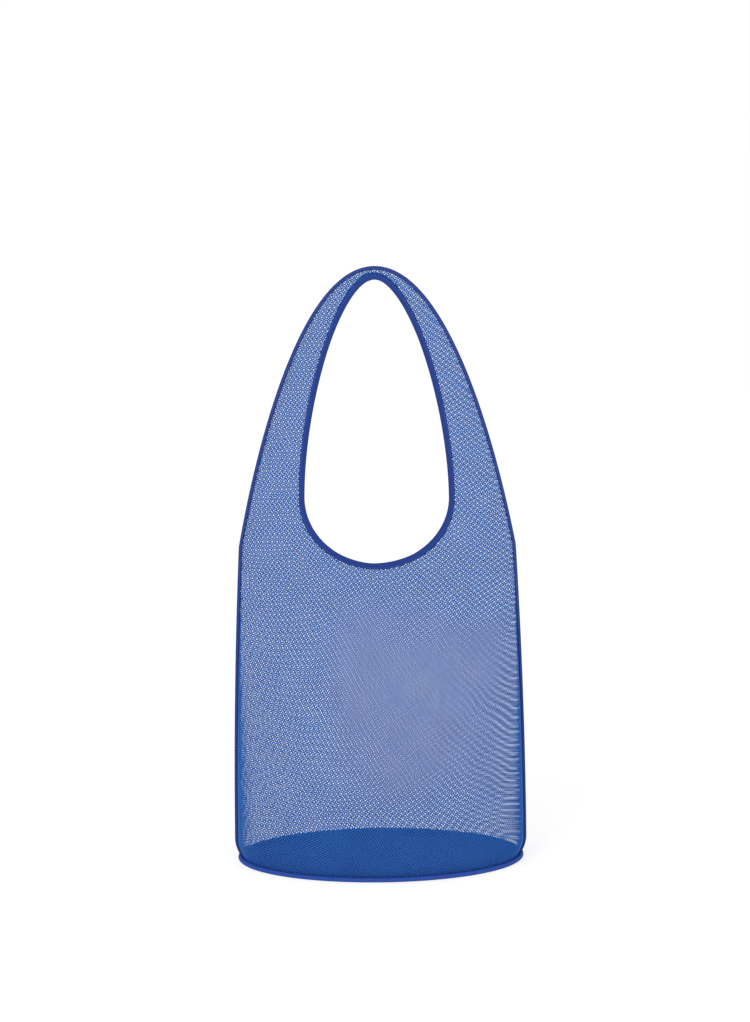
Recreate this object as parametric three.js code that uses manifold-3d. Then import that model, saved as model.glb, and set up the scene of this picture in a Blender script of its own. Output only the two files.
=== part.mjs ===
// A see-through mesh shoulder bag: a front and a back panel of open mesh, each the body and half of
// the handle in one, sewn together along their outline, with a bound mouth and a solid oval base.
// Millimetres, +Z up. X runs across the bag, and the front faces -Y.
// The origin lies on the floor under the middle of the base.
import * as THREE from 'three';
import { mergeVertices } from 'three/addons/utils/BufferGeometryUtils.js';
import Module from 'manifold-3d';

// Outline of the bag, seen from the front and measured over the side seam
const HEIGHT = 704; // floor to the top of the handle
const BODY_WIDTH = 330; // at the widest level, just above the base
const BULGE_HEIGHT = 25; // height of that level
const SHOULDER_WIDTH = 313; // where the body turns into the handle
const SHOULDER_HEIGHT = 372;
const SHOULDER_LEAN = 10; // degrees that the handle starts off the vertical
const SHOULDER_REACH = 151; // length over which the handle keeps that lean
const CROWN_REACH = 73; // half length of the level stretch on top of the handle

// Depth of the bag, seen from the side
const BODY_DEPTH = 187; // front to back at the widest level
const MOUTH_GAPE = 36; // front panel to back panel at the bottom of the mouth
const FLANK_REACH = 110; // length over which the flanks stay upright, above the base and below the mouth

// Mouth: an egg-shaped opening through each panel, which is also the handle's loop
const MOUTH_WIDTH = 163; // clear width
const HANDLE_TOP = 15; // from the top of the mouth to the top of the handle
const FRONT_MOUTH_BOTTOM = 357;
const BACK_MOUTH_DROP = 12; // that the back panel's mouth is cut deeper
const MOUTH_CUP = 77; // from the bottom of the mouth up to its widest level
const MOUTH_LEG_REACH = 117; // length over which the mouth's sides stay upright
const MOUTH_CROWN_REACH = 35; // half length of the level stretch at the top of the loop

// Base
const BASE_WIDTH = 323; // over the piping
const BASE_DEPTH = 180;
const BASE_THICKNESS = 2.5;
const PIPING_DIAMETER = 5;

// Cloth and tape
const FABRIC = 1.2; // thickness of the mesh
const PRESSED = 0.7; // thickness of the mesh where the binding holds it
const TAPE = 0.7; // thickness of the binding tape
const BINDING_WIDTH = 6.5; // of the folded tape round the mouth
const SEAM_WIDTH = 2.8; // that the seam tape stands out from the panels
const SEAM_THICKNESS = 3.4;
const CLEARANCE = 0.3; // between pieces that are sewn together

// Mesh cells
const CELL_WIDTH = 42;
const CELL_HEIGHT = 47;
const STRAND = 9; // width of the cloth between two gaps
const HEM = 7; // uncut cloth along the seams and outside the binding
const LEAST_GAP = 300; // area in square millimetres under which a gap beside a hem is left uncut

// Steps along curves
const TUCK_STEPS = 3;
const SIDE_STEPS = 8;
const ARCH_STEPS = 20;
const FLANK_STEPS = 60;
const MOUTH_STEPS = 14;
const FOOT_STEPS = 16; // over half a panel
const PIPING_STEPS = 56;
const PIPING_SIDES = 8;

const FRONT = -1;
const BACK = 1;
const BLUE = 0x264594;
const MESH_ROUGHNESS = 0.75;
const TAPE_ROUGHNESS = 0.85;
const CANVAS_ROUGHNESS = 0.9;

// What follows from the sizes above: the panels stand on the base, just inside the piping
const MOUTH_TOP = HEIGHT - HANDLE_TOP;
const BACK_MOUTH_BOTTOM = FRONT_MOUTH_BOTTOM - BACK_MOUTH_DROP;
const SEAM_INSET = SEAM_WIDTH + CLEARANCE + FABRIC / 2;
const FOOT_INSET = PIPING_DIAMETER + 2 * CLEARANCE + FABRIC / 2;
const FOOT_HEIGHT = BASE_THICKNESS + 2 * CLEARANCE;
const RIM_HEIGHT = PIPING_DIAMETER + CLEARANCE; // up to which the panels stand upright
const SMALLEST = 0.05; // half width left at the very top of a panel
const ROW_RISE = 0.75 * CELL_HEIGHT; // six-sided cells interlock by a quarter of their height

const wasm = await Module();
wasm.setup();

// Flat shapes with a thickness, as a solid that can be cut.
// Every face along the edge has its own number, so a cut keeps the points of a straight edge.
function slab(shapes) {
  const geometry = new THREE.ExtrudeGeometry(shapes, { depth: FABRIC, bevelEnabled: false });
  geometry.deleteAttribute('normal');
  geometry.deleteAttribute('uv');
  const merged = mergeVertices(geometry);
  const vertProperties = Float32Array.from(merged.getAttribute('position').array);
  const triVerts = Uint32Array.from(merged.getIndex().array);
  const flat = geometry.groups.filter(({ materialIndex }) => materialIndex === 0);
  const isFlat = (corner) => flat.some(({ start, count }) => corner >= start && corner < start + count);
  const faceID = Uint32Array.from({ length: triVerts.length / 3 }, (_, i) => (isFlat(3 * i) ? 0 : i));
  return new wasm.Manifold(new wasm.Mesh({ numProp: 3, vertProperties, triVerts, faceID }));
}

// One name for a place on the flat cloth, to the nearest thousandth
function flatKey({ x, y }) {
  return `${Math.round(1000 * x)} ${Math.round(1000 * y)}`;
}

// The triangles of a slab's upper face
function upperFace(solid) {
  const { vertProperties, triVerts } = solid.getMesh();
  const triangles = [];
  for (let i = 0; i < triVerts.length; i += 3) {
    const corners = Array.from(triVerts.slice(i, i + 3), (vertex) => (
      new THREE.Vector3().fromArray(vertProperties, 3 * vertex)
    ));
    const isWhole = new Set(corners.map(flatKey)).size === corners.length;
    if (isWhole && corners.every(({ z }) => z > FABRIC / 2)) {
      triangles.push(corners.map(({ x, y }) => new THREE.Vector2(x, y)));
    }
  }
  return triangles;
}

// Swaps the edge between two flat triangles for the other diagonal wherever that is shorter,
// so that no long triangle cuts across a bend
function shortenEdges(triangles) {
  const owners = new Map();
  const edgeKey = (from, to) => `${flatKey(from)} ${flatKey(to)}`;
  const claim = (triangle) => {
    triangle.forEach((corner, i) => owners.set(edgeKey(corner, triangle[(i + 1) % 3]), triangle));
  };
  const isFair = (a, b, c) => THREE.ShapeUtils.area([a, b, c]) > SMALLEST;
  const trySwap = (triangle, i) => {
    const [a, b, c] = [triangle[i], triangle[(i + 1) % 3], triangle[(i + 2) % 3]];
    const other = owners.get(edgeKey(b, a));
    if (!other) return false;
    const d = other.find((corner) => ![a, b].map(flatKey).includes(flatKey(corner)));
    if (c.distanceTo(d) >= a.distanceTo(b) || !isFair(c, a, d) || !isFair(d, b, c)) return false;
    owners.delete(edgeKey(a, b));
    owners.delete(edgeKey(b, a));
    triangle.splice(0, 3, c, a, d);
    other.splice(0, 3, d, b, c);
    claim(triangle);
    claim(other);
    return true;
  };
  triangles.forEach(claim);
  let isDone = false;
  while (!isDone) {
    isDone = !triangles.map((triangle) => [0, 1, 2].some((i) => trySwap(triangle, i))).includes(true);
  }
}

// The triangles between two lines of flat points, for a line `right` that runs on the right of `left`
function band(left, right) {
  return left.slice(1).flatMap((ahead, i) => [
    [left[i], right[i], right[i + 1]],
    [left[i], right[i + 1], ahead],
  ]);
}

// A closed sheet over flat triangles. `place` gives the outer and the inner point of each corner.
function sheet(triangles, place) {
  const numbers = new Map();
  const outer = [];
  const inner = [];
  const numberOf = (corner) => {
    const key = flatKey(corner);
    if (!numbers.has(key)) {
      numbers.set(key, outer.length);
      const [outside, inside] = place(corner);
      outer.push(outside);
      inner.push(inside);
    }
    return numbers.get(key);
  };
  const faces = triangles.map((corners) => corners.map(numberOf));
  const edges = new Map();
  for (const [a, b, c] of faces) {
    edges.set(`${a} ${b}`, [a, b]).set(`${b} ${c}`, [b, c]).set(`${c} ${a}`, [c, a]);
  }
  const below = outer.length;
  const indices = faces.flatMap(([a, b, c]) => [a, b, c, below + c, below + b, below + a]);
  for (const [a, b] of edges.values()) {
    if (!edges.has(`${b} ${a}`)) {
      indices.push(b, a, below + a, b, below + a, below + b);
    }
  }
  const geometry = new THREE.BufferGeometry().setFromPoints([...outer, ...inner]);
  geometry.setIndex(indices);
  return geometry;
}

// Points of a curve chain in order, without the repeated joints
function chain(...pieces) {
  const points = pieces.flatMap(([curve, steps]) => curve.getPoints(steps).slice(1));
  return [pieces[0][0].getPoint(0), ...points];
}

// A curve that leaves `from` at a slant and arrives upright at `to`
function swell(from, to) {
  return new THREE.QuadraticBezierCurve(from, new THREE.Vector2(to.x, (from.y + to.y) / 2), to);
}

// A curve that leaves `from` upright and arrives at a slant at `to`
function taper(from, to) {
  return new THREE.QuadraticBezierCurve(from, new THREE.Vector2(from.x, (from.y + to.y) / 2), to);
}

// Half width of a panel against height, from its foot to its top
function widthProfile() {
  const foot = new THREE.Vector2(BASE_WIDTH / 2 - FOOT_INSET, FOOT_HEIGHT);
  const rim = new THREE.Vector2(foot.x, RIM_HEIGHT);
  const bulge = new THREE.Vector2(BODY_WIDTH / 2 - SEAM_INSET, BULGE_HEIGHT);
  const shoulder = new THREE.Vector2(SHOULDER_WIDTH / 2 - SEAM_INSET, SHOULDER_HEIGHT);
  const top = new THREE.Vector2(0, HEIGHT - SEAM_INSET);
  const lean = THREE.MathUtils.degToRad(90 + SHOULDER_LEAN);
  const leaning = new THREE.Vector2(Math.cos(lean), Math.sin(lean)).multiplyScalar(SHOULDER_REACH);
  const crown = new THREE.Vector2(CROWN_REACH, top.y);
  const arch = new THREE.CubicBezierCurve(shoulder, shoulder.clone().add(leaning), crown, top);
  return chain(
    [new THREE.LineCurve(foot, rim), 1],
    [swell(rim, bulge), TUCK_STEPS],
    [taper(bulge, shoulder), SIDE_STEPS],
    [arch, ARCH_STEPS],
  );
}

// Half depth of the bag against height, from the foot to the bottom of the mouth
function depthProfile() {
  const foot = new THREE.Vector2(BASE_DEPTH / 2 - FOOT_INSET, FOOT_HEIGHT);
  const rim = new THREE.Vector2(foot.x, RIM_HEIGHT);
  const bulge = new THREE.Vector2((BODY_DEPTH - FABRIC) / 2, BULGE_HEIGHT);
  const mouth = new THREE.Vector2(MOUTH_GAPE / 2, FRONT_MOUTH_BOTTOM);
  const flank = new THREE.CubicBezierCurve(
    bulge,
    new THREE.Vector2(bulge.x, bulge.y + FLANK_REACH),
    new THREE.Vector2(mouth.x, mouth.y - FLANK_REACH),
    mouth,
  );
  return chain([new THREE.LineCurve(foot, rim), 1], [swell(rim, bulge), TUCK_STEPS], [flank, FLANK_STEPS]);
}

const WIDTHS = widthProfile();
const DEPTHS = depthProfile();

// The value of a profile at a height
function read(profile, height) {
  const after = profile.findIndex((point) => point.y >= height);
  if (after === -1) return profile.at(-1).x;
  if (after === 0) return profile[0].x;
  const low = profile[after - 1];
  const high = profile[after];
  return THREE.MathUtils.mapLinear(height, low.y, high.y, low.x, high.x);
}

function halfWidth(height) {
  return Math.max(read(WIDTHS, height), SMALLEST);
}

// Above the mouth's bottom the two sides of the handle close up as they narrow
function halfDepth(height) {
  const narrowing = halfWidth(height) / halfWidth(FRONT_MOUTH_BOTTOM);
  return read(DEPTHS, height) * (height > FRONT_MOUTH_BOTTOM ? narrowing : 1);
}

// Every level of the bag is an oval: this is a quarter of it, from the middle to the side seam
function quarterOval(height) {
  return new THREE.EllipseCurve(0, 0, halfWidth(height), halfDepth(height), Math.PI / 2, 0, true);
}

// Half width of the flat cloth at a height
function clothHalfWidth(height) {
  return quarterOval(height).getLength();
}

// Change of a function with height
function slope(profile, height) {
  const step = 0.5;
  return (profile(height + step) - profile(height - step)) / (2 * step);
}

// Where a point of the flat cloth lies on the bag, and the way out of the bag there.
// The one point at the very top lies on the seam.
function onBag(across, height, facing) {
  const width = halfWidth(height);
  const depth = halfDepth(height);
  const share = width > SMALLEST ? Math.min(Math.abs(across) / clothHalfWidth(height), 1) : 1;
  const { x, y } = quarterOval(height).getPointAt(share);
  const rise = (x / width) ** 2 * (slope(halfWidth, height) / width)
    + (y / depth) ** 2 * (slope(halfDepth, height) / depth);
  const side = -facing * Math.sign(across);
  const point = new THREE.Vector3(side * x, facing * (y + CLEARANCE / 2), height);
  const normal = new THREE.Vector3(side * x / width ** 2, facing * y / depth ** 2, -rise).normalize();
  return { point, normal };
}

// Unit tangents of a closed ring of points
function ringTangents(points) {
  const count = points.length;
  return points.map((point, i) => {
    const next = points[(i + 1) % count];
    const last = points[(i + count - 1) % count];
    return next.clone().sub(last).normalize();
  });
}

// A closed outline moved outwards, for one that runs anticlockwise
function grow(outline, distance) {
  const tangents = ringTangents(outline);
  return outline.map(({ x, y }, i) => {
    const { x: along, y: up } = tangents[i];
    return new THREE.Vector2(x + up * distance, y - along * distance);
  });
}

// The clear edge of a mouth on the flat cloth, anticlockwise from its left side
function mouthOutline(bottom) {
  const half = MOUTH_WIDTH / 2;
  const widest = bottom + MOUTH_CUP;
  const upright = widest + MOUTH_LEG_REACH;
  const path = new THREE.Path();
  path.absellipse(0, widest, half, MOUTH_CUP, Math.PI, 2 * Math.PI, false);
  path.bezierCurveTo(half, upright, MOUTH_CROWN_REACH, MOUTH_TOP, 0, MOUTH_TOP);
  path.bezierCurveTo(-MOUTH_CROWN_REACH, MOUTH_TOP, -half, upright, -half, widest);
  return path.getPoints(MOUTH_STEPS).slice(0, -1);
}

// Six-sided gaps in rows over the right half of a panel, with every other row half a cell along
function gapShapes() {
  const side = (CELL_WIDTH - STRAND) / 2;
  const tip = side * CELL_HEIGHT / CELL_WIDTH;
  const leftHalf = [[0, tip], [-side, tip / 2], [-side, -tip / 2]];
  const rightHalf = leftHalf.map(([u, v]) => [-u, -v]);
  const hexagon = [...leftHalf, ...rightHalf];
  const shapes = [];
  for (let row = 0; row * ROW_RISE < HEIGHT; row += 1) {
    const y = FOOT_HEIGHT + HEM + tip + row * ROW_RISE;
    for (let x = row % 2 * CELL_WIDTH / 2; x < BODY_WIDTH; x += CELL_WIDTH) {
      shapes.push(new THREE.Shape(hexagon.map(([u, v]) => new THREE.Vector2(x + u, y + v))));
    }
  }
  return shapes;
}

// The flat cloth of a panel as triangles: its right half with the gaps cut out, and the same mirrored.
// `held` is the edge of the mouth's binding.
function openCloth(mouth, held) {
  const rightEdge = WIDTHS.slice(0, -1).map(({ y }) => new THREE.Vector2(clothHalfWidth(y), y));
  const rightHem = rightEdge.map(({ x, y }) => new THREE.Vector2(Math.max(x - HEM, SMALLEST), y));
  const leftHem = rightHem.toReversed().map(({ x, y }) => new THREE.Vector2(-x, y));
  const hemmed = new THREE.Shape([...rightHem, ...leftHem]);
  const bound = new THREE.Shape(grow(mouth, BINDING_WIDTH + HEM));
  const net = slab(gapShapes()).intersect(slab([hemmed])).subtract(slab([bound]));
  const gaps = net.decompose().filter((gap) => gap.volume() > LEAST_GAP * FABRIC);

  const [foot, rim] = rightEdge.slice(0, 2).map((end) => (
    new THREE.LineCurve(new THREE.Vector2(0, end.y), end).getPoints(FOOT_STEPS)
  ));
  const mouthEdge = held.filter(({ x }) => x > -SMALLEST).reverse();
  const half = new THREE.Shape([...rim, ...rightEdge.slice(2), WIDTHS.at(-1), ...mouthEdge]);
  const upper = upperFace(slab([half]).subtract(wasm.Manifold.union(gaps)));
  shortenEdges(upper);
  const right = [...band(rim, foot), ...upper];
  const left = right.map(([a, b, c]) => [c, b, a].map(({ x, y }) => new THREE.Vector2(-x, y)));
  return [...right, ...left];
}

// A mesh panel: cut flat with its mouth and gaps, then bent to the bag's form.
// Round the mouth it is pressed thin, where the binding holds it.
function panelGeometry(mouth, facing) {
  const held = grow(mouth, BINDING_WIDTH + CLEARANCE);
  const edge = grow(mouth, TAPE + CLEARANCE);
  const pressed = band([...edge, edge[0]], [...held, held[0]]);
  const pressedKeys = new Set(pressed.flat().map(flatKey));
  const place = (flat) => {
    const { point, normal } = onBag(flat.x, flat.y, facing);
    const half = (pressedKeys.has(flatKey(flat)) ? PRESSED : FABRIC) / 2;
    return [half, -half].map((offset) => point.clone().addScaledVector(normal, offset));
  };
  return sheet([...openCloth(mouth, held), ...pressed], place);
}

// A solid swept along stations. Each one places the same section by two axes, `right` and `up`,
// with `right` crossed by `up` pointing along the way.
function sweep(stations, section, closed) {
  const count = section.length;
  const points = stations.flatMap(({ origin, right, up }) => section.map(([u, v]) => (
    origin.clone().addScaledVector(right, u).addScaledVector(up, v)
  )));
  const faces = [];
  const steps = closed ? stations.length : stations.length - 1;
  for (let i = 0; i < steps; i += 1) {
    const here = i * count;
    const next = ((i + 1) % stations.length) * count;
    for (let j = 0; j < count; j += 1) {
      const k = (j + 1) % count;
      faces.push(here + j, here + k, next + k, here + j, next + k, next + j);
    }
  }
  if (!closed) {
    const end = steps * count;
    const outline = section.map(([u, v]) => new THREE.Vector2(u, v));
    for (const [a, b, c] of THREE.ShapeUtils.triangulateShape(outline, [])) {
      faces.push(a, c, b, end + a, end + b, end + c);
    }
  }
  const geometry = new THREE.BufferGeometry().setFromPoints(points);
  geometry.setIndex(faces);
  return geometry;
}

// Tape folded over the edge of a mouth: a channel that holds the panel's edge and lies along it
function mouthBindingGeometry(mouth, facing) {
  const edge = mouth.map(({ x, y }) => onBag(x, y, facing).point);
  const held = grow(mouth, BINDING_WIDTH + CLEARANCE).map(({ x, y }) => onBag(x, y, facing).point);
  const tangents = ringTangents(edge);
  const stations = edge.map((origin, i) => {
    const up = held[i].clone().sub(origin).normalize();
    return { origin, up, right: up.clone().cross(tangents[i]).normalize() };
  });
  const inside = PRESSED / 2 + CLEARANCE;
  const outside = inside + TAPE;
  const section = [
    [TAPE - outside, 0],
    [outside - TAPE, 0],
    [outside, TAPE],
    [outside, BINDING_WIDTH],
    [inside, BINDING_WIDTH],
    [inside, TAPE],
    [-inside, TAPE],
    [-inside, BINDING_WIDTH],
    [-outside, BINDING_WIDTH],
    [-outside, TAPE],
  ];
  return sweep(stations, section, true);
}

// Narrow tape over the joined edges of both panels, from the piping up one side, over the handle
// and down the other side
function sideSeamGeometry() {
  const start = PIPING_DIAMETER + CLEARANCE + SEAM_INSET;
  const right = [new THREE.Vector2(halfWidth(start), start), ...WIDTHS.filter(({ y }) => y > start)];
  const left = right.map(({ x, y }) => new THREE.Vector2(-x, y));
  const outline = [...left, ...right.slice(0, -1).reverse()];
  const stations = outline.map((point, i) => {
    const ahead = outline[Math.min(i + 1, outline.length - 1)];
    const behind = outline[Math.max(i - 1, 0)];
    const along = ahead.clone().sub(behind).normalize();
    return {
      origin: new THREE.Vector3(point.x, 0, point.y),
      right: new THREE.Vector3(0, 1, 0),
      up: new THREE.Vector3(-along.y, 0, along.x),
    };
  });
  const half = SEAM_THICKNESS / 2;
  const inner = FABRIC / 2 + CLEARANCE;
  const outer = inner + SEAM_WIDTH;
  const section = [
    [-half, inner],
    [half, inner],
    [half, outer - TAPE],
    [half - TAPE, outer],
    [TAPE - half, outer],
    [-half, outer - TAPE],
  ];
  return sweep(stations, section, false);
}

// The middle line of the piping: an oval on the floor, anticlockwise from above
function pipingLine() {
  const inset = PIPING_DIAMETER / 2;
  const oval = new THREE.EllipseCurve(0, 0, BASE_WIDTH / 2 - inset, BASE_DEPTH / 2 - inset);
  return oval.getPoints(PIPING_STEPS).slice(0, -1);
}

// Round cord piping in the seam round the base
function pipingGeometry() {
  const line = pipingLine();
  const tangents = ringTangents(line);
  const radius = PIPING_DIAMETER / 2;
  const stations = line.map(({ x, y }, i) => ({
    origin: new THREE.Vector3(x, y, radius),
    right: new THREE.Vector3(0, 0, 1),
    up: new THREE.Vector3(tangents[i].y, -tangents[i].x, 0),
  }));
  const ring = new THREE.EllipseCurve(0, 0, radius, radius).getPoints(PIPING_SIDES).slice(0, -1);
  return sweep(stations, ring.map(({ x, y }) => [x, y]), true);
}

// Solid oval base, flush with the piping on the floor
function basePanelGeometry() {
  const edge = grow(pipingLine(), -PIPING_DIAMETER / 2 - CLEARANCE);
  return new THREE.ExtrudeGeometry(new THREE.Shape(edge), { depth: BASE_THICKNESS, bevelEnabled: false });
}

function part(name, geometry, roughness) {
  const material = new THREE.MeshStandardMaterial({ color: BLUE, roughness, metalness: 0 });
  const mesh = new THREE.Mesh(geometry, material);
  mesh.name = name;
  return mesh;
}

const frontMouth = mouthOutline(FRONT_MOUTH_BOTTOM);
const backMouth = mouthOutline(BACK_MOUTH_BOTTOM);

const bag = new THREE.Group();
bag.add(
  part('front_panel', panelGeometry(frontMouth, FRONT), MESH_ROUGHNESS),
  part('back_panel', panelGeometry(backMouth, BACK), MESH_ROUGHNESS),
  part('front_mouth_binding', mouthBindingGeometry(frontMouth, FRONT), TAPE_ROUGHNESS),
  part('back_mouth_binding', mouthBindingGeometry(backMouth, BACK), TAPE_ROUGHNESS),
  part('side_seam_binding', sideSeamGeometry(), TAPE_ROUGHNESS),
  part('base_panel', basePanelGeometry(), CANVAS_ROUGHNESS),
  part('base_piping', pipingGeometry(), CANVAS_ROUGHNESS),
);

export default bag;
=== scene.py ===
"""A see-through mesh shoulder bag, dressed round its solids.

Two panels of fine net stand on an oval canvas base and run up into one handle loop. Tape binds the two
mouths and the side seam, and a covered cord is piped round the base. The net is two sets of crossing yarns.
Sizes are in metres, in the frame of the solids: +Z is up and the front of the bag faces -Y.
"""

import math

import bmesh
import bpy
import numpy as np
from bpy.props import FloatProperty, FloatVectorProperty, IntProperty, PointerProperty
from mathutils import Matrix, Vector


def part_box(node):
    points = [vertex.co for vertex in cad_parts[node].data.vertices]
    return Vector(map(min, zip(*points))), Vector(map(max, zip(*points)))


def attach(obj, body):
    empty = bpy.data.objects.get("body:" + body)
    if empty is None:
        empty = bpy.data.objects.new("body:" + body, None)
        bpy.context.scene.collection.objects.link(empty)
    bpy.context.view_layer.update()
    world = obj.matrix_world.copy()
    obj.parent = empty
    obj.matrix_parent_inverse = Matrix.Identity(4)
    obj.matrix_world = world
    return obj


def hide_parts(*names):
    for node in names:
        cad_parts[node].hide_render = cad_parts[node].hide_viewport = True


bl_info = {
    "name": "Mesh bag",
    "version": (1, 0, 0),
    "blender": (4, 5, 0),
    "location": "View3D > Sidebar > Mesh bag",
    "description": "Makes a see-through mesh shoulder bag and its studio",
    "category": "Add Mesh",
}

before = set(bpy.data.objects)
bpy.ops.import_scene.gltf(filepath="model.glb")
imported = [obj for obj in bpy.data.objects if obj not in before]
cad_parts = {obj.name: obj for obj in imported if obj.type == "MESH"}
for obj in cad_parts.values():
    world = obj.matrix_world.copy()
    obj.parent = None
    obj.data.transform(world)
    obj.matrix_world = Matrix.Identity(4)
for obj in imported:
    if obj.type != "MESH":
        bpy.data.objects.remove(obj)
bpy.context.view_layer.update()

MM = 0.001
FRONT, BACK = -1, 1

# The bag's form, as its solids have it
SEAM_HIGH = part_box("side_seam_binding")[1]
BASE_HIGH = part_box("base_panel")[1]
PIPING_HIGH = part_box("base_piping")[1]
HEIGHT = SEAM_HIGH.z
BULGE_HEIGHT = 25 * MM
SHOULDER_WIDTH = 313 * MM
SHOULDER_HEIGHT = 372 * MM
SHOULDER_LEAN = math.radians(10)
SHOULDER_REACH = 151 * MM
CROWN_REACH = 73 * MM
BODY_DEPTH = 187 * MM
MOUTH_GAPE = 36 * MM
FLANK_REACH = 110 * MM
MOUTH_WIDTH = 163 * MM
MOUTH_TOP = HEIGHT - 15 * MM
MOUTH_BOTTOM = {FRONT: 357 * MM, BACK: 345 * MM}
MOUTH_CUP = 77 * MM
MOUTH_LEG_REACH = 117 * MM
MOUTH_CROWN_REACH = 35 * MM
FABRIC = 1.2 * MM
SEAM_INSET = 3.7 * MM
FOOT_INSET = 6.2 * MM
FOOT_HEIGHT = 3.1 * MM
RIM_HEIGHT = 5.3 * MM
PANEL_GAP = 0.3 * MM
SMALLEST = 0.05 * MM

# Heights between which the soft folds grow above the foot, and fade towards the handle
FOLDS_GROW = (15 * MM, 90 * MM)
FOLDS_FADE = (300 * MM, 480 * MM)

# How finely the form is sampled
CURVE_STEPS = 160
QUARTER = np.linspace(0, math.pi / 2, 181)
LEVELS = np.linspace(FOOT_HEIGHT, HEIGHT - SEAM_INSET, 1400)
SHARES = np.linspace(-1, 1, 81)
MOUTH_STEP = 0.5 * MM
CUT_STEP = 0.2 * MM
YARN_STEP = 6 * MM
TAPE_STEP = 3 * MM
PIPING_STEP = 2 * MM

# The net's grain leans this far off upright, and its yarns run to both sides of the grain at this slant
GRAIN = math.radians(15)
SLANT = math.radians(45)

# Length of the waves in which the net's slack pulls its yarns out of line
SLACK_WAVE = 90 * MM

# How far the stitches lie from the edges of the mouth tapes and of the base, and the most that one tilts
TAPE_STITCH_INSET = 1.5 * MM
BASE_STITCH_INSET = 6 * MM
STITCH_TILT = 0.09

# The camera frames an image this many pixels high, and a pixel spans this much of the bag
IMAGE_HEIGHT = 1022
PIXEL = 1.1289 * MM


def linear(code):
    """An sRGB hex colour in linear light."""
    values = [int(code[i:i + 2], 16) / 255 for i in (1, 3, 5)]
    return [v / 12.92 if v <= 0.04045 else ((v + 0.055) / 1.055) ** 2.4 for v in values]


class MeshBagSizes(bpy.types.PropertyGroup):
    """Sizes of the net, the tapes and the stitches."""

    cell: FloatProperty(
        name="Cell", description="Distance between neighbouring yarns of the net",
        default=2.4 * MM, min=2 * MM, unit="LENGTH", precision=4)
    yarn: FloatProperty(
        name="Yarn", description="Width of a yarn of the net",
        default=0.88 * MM, min=0.2 * MM, unit="LENGTH", precision=4)
    yarn_thickness: FloatProperty(
        name="Yarn thickness", description="Thickness of a yarn through the cloth",
        default=0.8 * MM, min=0.2 * MM, unit="LENGTH", precision=4)
    unevenness: FloatProperty(
        name="Unevenness", description="How far the yarns of the net stray from straight lines",
        default=0.5 * MM, min=0, unit="LENGTH", precision=4)
    fold: FloatProperty(
        name="Fold", description="Depth of the soft folds in the standing panels",
        default=2 * MM, min=0, unit="LENGTH", precision=4)
    binding_width: FloatProperty(
        name="Binding width", description="Width of the folded tape round a mouth",
        default=6.5 * MM, min=2 * MM, unit="LENGTH", precision=4)
    binding_thickness: FloatProperty(
        name="Binding thickness", description="Thickness of the folded tape with the net in it",
        default=2.7 * MM, min=1 * MM, unit="LENGTH", precision=4)
    tape: FloatProperty(
        name="Tape", description="Thickness of one layer of tape",
        default=0.7 * MM, min=0.2 * MM, unit="LENGTH", precision=4)
    seam_thickness: FloatProperty(
        name="Seam thickness", description="Thickness of the tape folded over the side seam",
        default=3.4 * MM, min=1 * MM, unit="LENGTH", precision=4)
    stitch_length: FloatProperty(
        name="Stitch length", description="Length of one stitch that shows",
        default=2.5 * MM, min=0.5 * MM, unit="LENGTH", precision=4)
    stitch_spacing: FloatProperty(
        name="Stitch spacing", description="Distance from one stitch to the next",
        default=3.4 * MM, min=1 * MM, unit="LENGTH", precision=4)
    stitch_thickness: FloatProperty(
        name="Stitch thickness", description="Thickness of the sewing thread",
        default=0.5 * MM, min=0.1 * MM, unit="LENGTH", precision=4)
    seed: IntProperty(
        name="Seed", description="Chooses how the net strays and the stitches tilt", default=7)


class MeshBagColours(bpy.types.PropertyGroup):
    """Colours of the bag's materials."""

    net: FloatVectorProperty(
        name="Net", description="Colour of the net's yarn", subtype="COLOR", default=linear("#205FAC"))
    binding: FloatVectorProperty(
        name="Binding", description="Colour of the mouth tapes", subtype="COLOR", default=linear("#1C3478"))
    seam: FloatVectorProperty(
        name="Seam", description="Colour of the side seam tape", subtype="COLOR", default=linear("#24387A"))
    canvas: FloatVectorProperty(
        name="Canvas", description="Colour of the base", subtype="COLOR", default=linear("#213584"))
    piping: FloatVectorProperty(
        name="Piping", description="Colour of the piping cover", subtype="COLOR", default=linear("#264798"))
    thread: FloatVectorProperty(
        name="Thread", description="Colour of the sewing thread", subtype="COLOR", default=linear("#3B5DB0"))


def bezier(*points):
    """Points along a Bezier curve of any order, as rows of two numbers."""
    share = np.linspace(0, 1, CURVE_STEPS + 1)[:, None]
    rows = [np.array(p, float) + 0 * share for p in points]
    while len(rows) > 1:
        rows = [a + (b - a) * share for a, b in zip(rows, rows[1:])]
    return rows[0]


def swell(low, high):
    """A curve that leaves a low point sideways and comes upright into a high one."""
    return bezier(low, (high[0], (low[1] + high[1]) / 2), high)


def width_profile():
    """Half width and height of the panels' edge, from the foot up to the top of the handle."""
    foot = (PIPING_HIGH.x - FOOT_INSET, FOOT_HEIGHT)
    rim = (foot[0], RIM_HEIGHT)
    bulge = (SEAM_HIGH.x - SEAM_INSET, BULGE_HEIGHT)
    shoulder = (SHOULDER_WIDTH / 2 - SEAM_INSET, SHOULDER_HEIGHT)
    top = (0, HEIGHT - SEAM_INSET)
    upright = (bulge[0], (bulge[1] + shoulder[1]) / 2)
    leaning = (
        shoulder[0] - SHOULDER_REACH * math.sin(SHOULDER_LEAN),
        shoulder[1] + SHOULDER_REACH * math.cos(SHOULDER_LEAN))
    return np.vstack([
        bezier(foot, rim),
        swell(rim, bulge),
        bezier(bulge, upright, shoulder),
        bezier(shoulder, leaning, (CROWN_REACH, top[1]), top)])


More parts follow.
